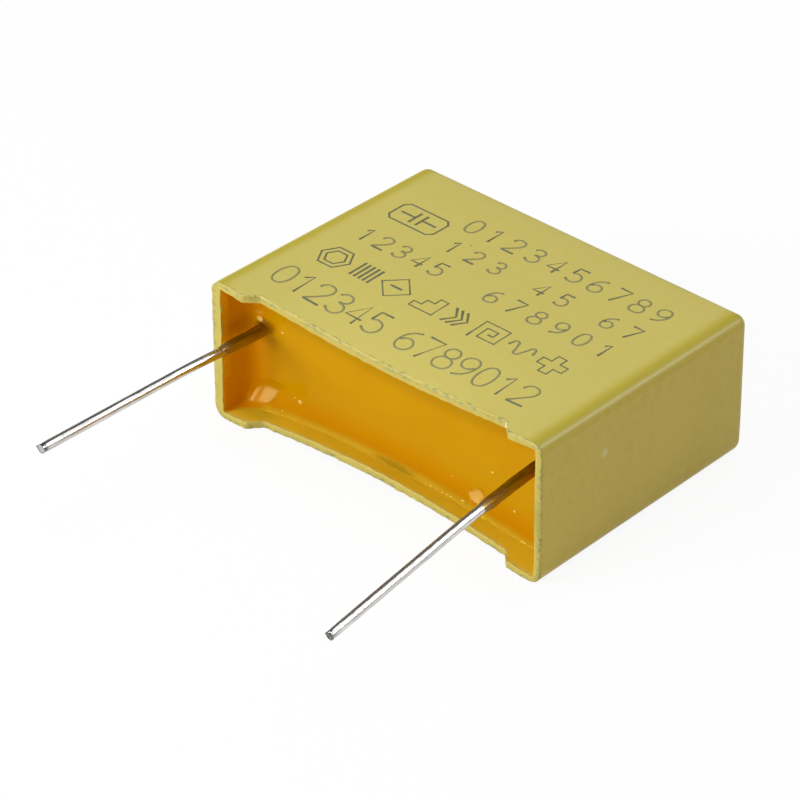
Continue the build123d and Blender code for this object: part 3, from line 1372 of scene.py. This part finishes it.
    def crowd(self, bm: Mesh) -> None:
        """Draw the grid's columns together near the left wall.

        Args:
            bm: The flat grid.
        """
        start = min(vert.co.x for vert in bm.verts)
        for vert in bm.verts:
            run = vert.co.x - start
            vert.co.x = start + run * (1 - math.exp(-(run + self.cell) / self.crowding))

    def flat_grid(self) -> Mesh:
        """The free surface as a flat grid that stands square to Y, its regions marked.

        Returns:
            The mesh.
        """
        form = self.form
        half = form.half_length - form.end_wall + self.bite
        tall = form.size.z / 2 - form.broad_wall + self.bite
        bm = bmesh.new()
        bmesh.ops.create_grid(bm, x_segments=math.ceil(2 * half / self.cell),
                              y_segments=math.ceil(2 * tall / self.cell), size=1.0)
        bmesh.ops.scale(bm, vec=(half, tall, 1.0), verts=bm.verts)
        self.crowd(bm)
        self.refine(bm)
        bmesh.ops.rotate(bm, cent=(0, 0, 0), verts=bm.verts, matrix=ALONG_Y)
        middle = (form.core_shift, 0, form.size.z / 2)
        bmesh.ops.translate(bm, vec=middle, verts=bm.verts)
        self.mark_regions(bm)
        return bm

    def build(self, finish: Material) -> Piece:
        """Model and dress the resin.

        Args:
            finish: Its material.

        Returns:
            The piece.
        """
        bm = self.flat_grid()
        front = list(bm.verts)
        grown = bmesh.ops.extrude_face_region(bm, geom=list(bm.faces), use_keep_orig=True)
        back = [item for item in grown["geom"] if isinstance(item, bmesh.types.BMVert)]
        rear = self.form.high.y - self.form.back_wall
        for verts, depth in ((front, None), (back, rear)):
            for vert in verts:
                vert.co = self.fitted(vert.co, depth)
        self.add_glint_beads(bm)
        bmesh.ops.recalc_face_normals(bm, faces=bm.faces)
        piece = finish_piece(bm, "cast_resin", finish)
        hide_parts("potting_resin")
        return piece

    def pressed(self, x: float, y: float) -> float:
        """Share of the flat block's thickness that the bowed walls leave."""
        form = self.form
        return 1 - form.bow_at(x, y, inside=True) / (form.size.z / 2 - form.broad_wall)

    def unpressed(self, x: float, z: float) -> float:
        """Height in the flat block of a point of the free surface at a real height z."""
        middle = self.form.size.z / 2
        return middle + (z - middle) / self.pressed(x, self.form.mouth + self.level)

    def fitted(self, place: Vector, depth: float | None) -> Vector:
        """Fit a point of the flat block between the bowed walls.

        Args:
            place: Point of the flat block.
            depth: Y to take, or None for the free surface.

        Returns:
            The fitted point.
        """
        form = self.form
        y = self.height(place.x, place.z) if depth is None else depth
        middle = form.size.z / 2
        x = place.x * (1 - form.end_draft * form.depth_share(y) / form.half_length)
        return Vector((x, y, middle + (place.z - middle) * self.pressed(place.x, y)))


# ---- The leads ----


@dataclass
class Lead:
    """Tinned wire with one gentle bend and a clipped end. Millimetres."""

    side: Side
    root: Vector
    bend_start: float
    bend_length: float
    bend_rise: float
    tip_y: float
    tip_height: float
    # how much painted shade darkens the cut face, and the ring behind it
    cut_shade: float = 1.0
    collar_shade: float = 0.4
    splay: float = 0.35
    radius: float = 0.31
    grip: float = 10.9
    blend: float = 0.9
    segments: int = 24
    end_rings: tuple[float, ...] = (0.02, 0.10, 0.22, 0.36)
    ring_step: float = 0.45
    ring_margins: Pair = (0.7, 0.5)
    cut_inset: float = 0.22
    cut_depth: float = 0.04
    burr: float = 0.14
    burr_reach: float = 0.2
    pinch: float = 0.08
    pinch_place: float = 0.2
    pinch_band: Pair = (0.03, 0.3)
    collar_band: Pair = (0.2, 0.45)
    tip_reach: float = 0.5

    @property
    def node(self) -> str:
        """The frame's node that it stands for."""
        return self.side.name.lower() + "_lead"

    def centre(self, y: float) -> Vector:
        """Point of the centre line.

        Args:
            y: Place along the depth.

        Returns:
            The point.
        """
        knee_y = self.bend_start - self.bend_length
        first = self.soft(self.bend_start - y)
        second = self.soft(knee_y - y)
        slope = self.bend_rise / self.bend_length
        last = (self.tip_height - self.root.z - self.bend_rise) / (knee_y - self.tip_y)
        drift = self.side.value * self.splay / (self.bend_start - self.tip_y)
        return Vector((self.root.x + first * drift, y,
                       self.root.z + first * slope + second * (last - slope)))

    def soft(self, run: float) -> float:
        """Length of a run past a corner, with the corner rounded off."""
        return (run + math.hypot(run, self.blend)) / 2

    def build(self, finish: Material) -> Piece:
        """Model and dress the lead.

        Args:
            finish: Its material.

        Returns:
            The piece.
        """
        start = self.root.y + self.grip
        bm = rod_along_y(self.radius, self.tip_y, start, self.segments)
        near, far = self.ring_margins
        rings = [self.tip_y + ring for ring in self.end_rings]
        rings += even_steps(self.tip_y + near, start - far, self.ring_step)
        cut_across(bm, 1, rings)
        self.clip_tip(bm)
        for vert in bm.verts:
            vert.co += self.centre(vert.co.y) - Vector((0, vert.co.y, 0))
        bmesh.ops.recalc_face_normals(bm, faces=bm.faces)
        piece = finish_piece(bm, self.node + "_wire", finish)
        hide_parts(self.node)
        return piece

    def clip_tip(self, bm: Mesh) -> None:
        """Crush the cut end as side cutters leave it, with a small burr, and store where painted
        shade darkens the cut face and the pinched ring behind it.

        Args:
            bm: The mesh, its rings already cut.
        """
        (cut,) = add_layers(bm, "cut_shade_share")
        face = min(bm.faces, key=lambda item: item.calc_center_median().y)
        bmesh.ops.inset_region(bm, faces=[face], thickness=self.cut_inset * self.radius,
                               depth=-self.cut_depth, use_even_offset=True)
        middle = set(face.verts)
        for vert in bm.verts:
            run = vert.co.y - self.tip_y
            upper = max(0.0, (vert.co.z - vert.co.x) / self.radius / math.sqrt(2))
            if vert in middle:
                vert[cut] = self.cut_shade
            elif run < self.tip_reach:
                vert[cut] = self.collar_shade * (1 - smooth_step(*self.collar_band, run))
                drawn = 1 - smooth_step(0.0, self.burr_reach, run)
                vert.co.y -= self.burr * upper ** 3 * drawn
                pinched = 1 - smooth_step(*self.pinch_band, abs(run - self.pinch_place))
                vert.co.x *= 1 - self.pinch * pinched
                vert.co.z *= 1 - self.pinch * pinched


@dataclass
class LeadCoat:
    """Resin that has run along a lead and thins out. Millimetres."""

    lead: Lead
    reach: float
    side_shift: float
    radius: float = 0.39
    swell: float = 0.05
    dive: float = 0.02
    taper: float = 1.3
    bury: float = 0.4
    segments: int = 28
    ring_step: float = 0.14
    under_band: Pair = (-0.75, 0.75)
    thin_band: Pair = (0.15, 1.0)
    roughness: float = 0.03
    rough_cells: Triple = (1.5, 1.6, 1.5)

    def build(self, finish: Material) -> Piece:
        """Model and dress the coat.

        Args:
            finish: Its material.

        Returns:
            The piece.
        """
        root = self.lead.root
        start, stop = root.y + self.bury, root.y - self.reach
        bm = rod_along_y(1.0, stop, start, self.segments)
        cut_across(bm, 1, even_steps(stop, start, self.ring_step)[1:-1])
        under, thin = add_layers(bm, "underside_light_share", "thin_share")
        bare = self.lead.radius - self.dive
        for vert in bm.verts:
            x, y, z = vert.co
            # share of the coat's paler lower side, which is painted light
            vert[under] = smooth_step(*self.under_band, (x - z) / math.sqrt(2))
            vert[thin] = 1 - smooth_step(*self.thin_band, (y - stop) / self.taper)
            thick = smooth_step(0.0, self.taper, y - stop)
            where = vert.co * Vector(self.rough_cells) + Vector((0, 0, root.x))
            rough = self.roughness * noise.noise(where)
            size = bare + thick * (self.radius - bare + self.swell * math.exp(y - root.y) + rough)
            shift = Vector((-self.side_shift * thick, 0, self.side_shift * thick))
            vert.co = self.lead.centre(y) + shift + Vector((x * size, 0, z * size))
        bmesh.ops.recalc_face_normals(bm, faces=bm.faces)
        return finish_piece(bm, self.lead.node + "_coat", finish)


# ---- Studio ----


@dataclass(frozen=True)
class Softbox:
    """One soft lamp, aimed at the part. Millimetres and watts."""

    name: str
    place: Triple
    size: Pair
    watts: float
    mirrored: bool = True
    lights: bool = True

    def build(self, target: Vector) -> None:
        """Hang the lamp.

        Args:
            target: Point that it faces.
        """
        data = bpy.data.lights.new(self.name, "AREA")
        data.shape = "RECTANGLE"
        data.size, data.size_y = self.size[0] * MM, self.size[1] * MM
        data.energy = self.watts
        lamp = bpy.data.objects.new(self.name, data)
        lamp.location = Vector(self.place) * MM
        lamp.rotation_euler = (Vector(self.place) - target).to_track_quat("Z", "Y").to_euler()
        lamp.visible_camera = False
        lamp.visible_glossy = self.mirrored
        lamp.visible_diffuse = self.lights
        bpy.context.scene.collection.objects.link(lamp)


@dataclass(frozen=True)
class Flag:
    """Card that only shows in what is shiny. Millimetres."""

    name: str
    place: Triple
    size: Pair
    grey: float

    def build(self, target: Vector) -> None:
        """Stand the card up.

        Args:
            target: Point that it faces.
        """
        bm = bmesh.new()
        bmesh.ops.create_grid(bm, x_segments=1, y_segments=1, size=0.5)
        bmesh.ops.scale(bm, vec=(*self.size, 1), verts=bm.verts)
        turn = (target - Vector(self.place)).to_track_quat("Z", "Y").to_matrix()
        bmesh.ops.rotate(bm, cent=(0, 0, 0), matrix=turn, verts=bm.verts)
        bmesh.ops.translate(bm, vec=self.place, verts=bm.verts)
        wire = Wiring(bpy.data.materials.new(self.name))
        wire.set(Base_Color=(self.grey,) * 3, Roughness=1.0, Specular_IOR_Level=0.0)
        card = add_object(bm, self.name, wire.owner)
        card.visible_camera = card.visible_diffuse = card.visible_shadow = False


@dataclass(frozen=True)
class Viewpoint:
    """Camera above the mouth's right-hand corner. Millimetres, degrees and a clip in metres."""

    azimuth: float = 43.0317
    elevation: float = 33.9022
    roll: float = -0.2755
    distance: float = 265.741
    aim: Triple = (-2.4759, -4.4235, 3.4403)
    lens: float = 198.36
    sensor: float = 36.0
    clip: Pair = (0.01, 10.0)

    def build(self) -> None:
        """Set the camera up and make it the scene's."""
        azimuth, elevation = math.radians(self.azimuth), math.radians(self.elevation)
        back = Vector((math.sin(azimuth) * math.cos(elevation),
                       -math.cos(azimuth) * math.cos(elevation), math.sin(elevation)))
        data = bpy.data.cameras.new("camera")
        data.lens, data.sensor_width = self.lens, self.sensor
        data.clip_start, data.clip_end = self.clip
        camera = bpy.data.objects.new("camera", data)
        turn = (-back).to_track_quat("-Z", "Y").to_matrix()
        turn @= Matrix.Rotation(math.radians(self.roll), 3, "Z")
        stand = Vector(self.aim) + back * self.distance
        camera.matrix_world = Matrix.Translation(stand * MM) @ turn.to_4x4()
        bpy.context.scene.collection.objects.link(camera)
        bpy.context.scene.camera = camera


@dataclass(frozen=True)
class Studio:
    """Floor, world, lamps, cards and camera. Millimetres."""

    target: Triple = (0, 0, 5)
    view: Viewpoint = Viewpoint()
    floor_half: float = 400.0
    floor_grey: float = 0.9
    floor_glow: float = 0.92
    sky: float = 0.40
    seen_sky: float = 0.8
    lamps: tuple[Softbox, ...] = (
        Softbox("overhead", (-20, 30, 260), (260, 260), 0.30),
        Softbox("front_fill", (-110, -240, 120), (180, 140), 0.72, mirrored=False),
        Softbox("back_glow", (150, 172, 165), (70, 70), 0.35, lights=False),
        Softbox("side_glow", (180, 102, 193), (60, 60), 0.25, lights=False),
        Softbox("window_left", (-57.5, -235, 65), (84, 70), 1.50, lights=False),
        Softbox("window_middle", (9.5, -235, 65), (21, 70), 0.40, lights=False),
        Softbox("window_right", (14, -235, 117), (28, 28), 0.25, lights=False),
    )
    flags: tuple[Flag, ...] = (
        Flag("flag_back_left", (-120, 160, 130), (190, 170), 0.17),
        Flag("flag_back_high", (-45, 165, 200), (150, 70), 0.12),
        Flag("flag_low_right", (250, 192, 10), (110, 24), 0.12),
        Flag("flag_left", (-190, 95, 130), (130, 210), 0.17),
        Flag("flag_high_middle", (-45, 88, 232), (70, 60), 0.16),
        Flag("flag_high_left", (-112, 100, 228), (160, 110), 0.12),
    )

    def build(self) -> None:
        """Set up everything round the part."""
        self.lay_floor()
        self.hang_sky()
        for item in (*self.lamps, *self.flags):
            item.build(Vector(self.target))
        self.view.build()
        bpy.context.scene.view_settings.view_transform = "Standard"

    def lay_floor(self) -> None:
        """Plain pale floor, which looks white wherever no shadow falls on it."""
        bm = bmesh.new()
        bmesh.ops.create_grid(bm, x_segments=1, y_segments=1, size=self.floor_half)
        wire = Wiring(bpy.data.materials.new("pale_floor"))
        wire.set(Base_Color=(self.floor_grey,) * 3, Roughness=0.9, Specular_IOR_Level=0.0)
        glow = wire.node("Emission", {"Color": (1, 1, 1), "Strength": 1.0}).outputs[0]
        plain = wire.tree.nodes["Principled BSDF"].outputs[0]
        shader = wire.seen_as(plain, glow, self.floor_glow)
        wire.feed(wire.tree.nodes["Material Output"], {"Surface": shader})
        add_object(bm, "floor", wire.owner)

    def hang_sky(self) -> None:
        """Even white world, pale to the camera and in what is glossy."""
        world = bpy.data.worlds.new("studio")
        bpy.context.scene.world = world
        wire = Wiring(world)
        even = wire.tree.nodes["Background"]
        wire.feed(even, {"Color": (1, 1, 1), "Strength": self.sky})
        seen = wire.node("Background", {"Color": (self.seen_sky,) * 3, "Strength": 1.0})
        shader = wire.seen_as(even.outputs[0], seen.outputs[0])
        wire.feed(wire.tree.nodes["World Output"], {"Surface": shader})


def build_leads(mouth: float, level: float) -> tuple[Lead, Lead]:
    """Both leads, bent as they stand.

    Args:
        mouth: Y of the case's foot tips.
        level: Y of the resin's level.

    Returns:
        The left and the right lead.
    """
    tip_y = node_box_mm("left_lead")[0].y
    left = Lead(Side.LEFT, Vector((-11.25, level, 5.9)), bend_start=mouth + 1.6,
                bend_length=5.0, bend_rise=0.25, tip_y=tip_y, tip_height=6.2,
                cut_shade=0.15, collar_shade=0.9)
    right = Lead(Side.RIGHT, Vector((11.25, level, 6.6)), bend_start=mouth + 1.0,
                 bend_length=5.6, bend_rise=-0.55, tip_y=tip_y, tip_height=4.42)
    return left, right


def main() -> None:
    """Build every piece in order and report it."""
    logging.basicConfig(level=logging.INFO, format="%(message)s")
    Studio().build()
    form = BoxForm()
    fill = ResinFill(form)
    left, right = build_leads(form.mouth, form.mouth + fill.level)
    fill.roots = [left.root, right.root]
    tin, coating = TinnedWire().build(), DriedCoat().build()
    pieces = [MouldedCase(form).build(MouldedPlastic().build()),
              LaserMarking(form).build(LaserMark().build()),
              left.build(tin), right.build(tin),
              LeadCoat(left, reach=4.4, side_shift=0.03).build(coating),
              LeadCoat(right, reach=6.1, side_shift=-0.01).build(coating),
              fill.build(CastResin().build())]
    for piece in pieces:
        log.info("%s: %d faces", piece.name, len(piece.data.polygons))
    film, spray = MetallisedFilm().build(), SprayedMetal().build()
    for node, finish in (("film_winding", film), ("left_end_spray", spray),
                         ("right_end_spray", spray)):
        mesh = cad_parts[node].data
        mesh.materials.clear()
        mesh.materials.append(finish)


if __name__ == "__main__":
    main()
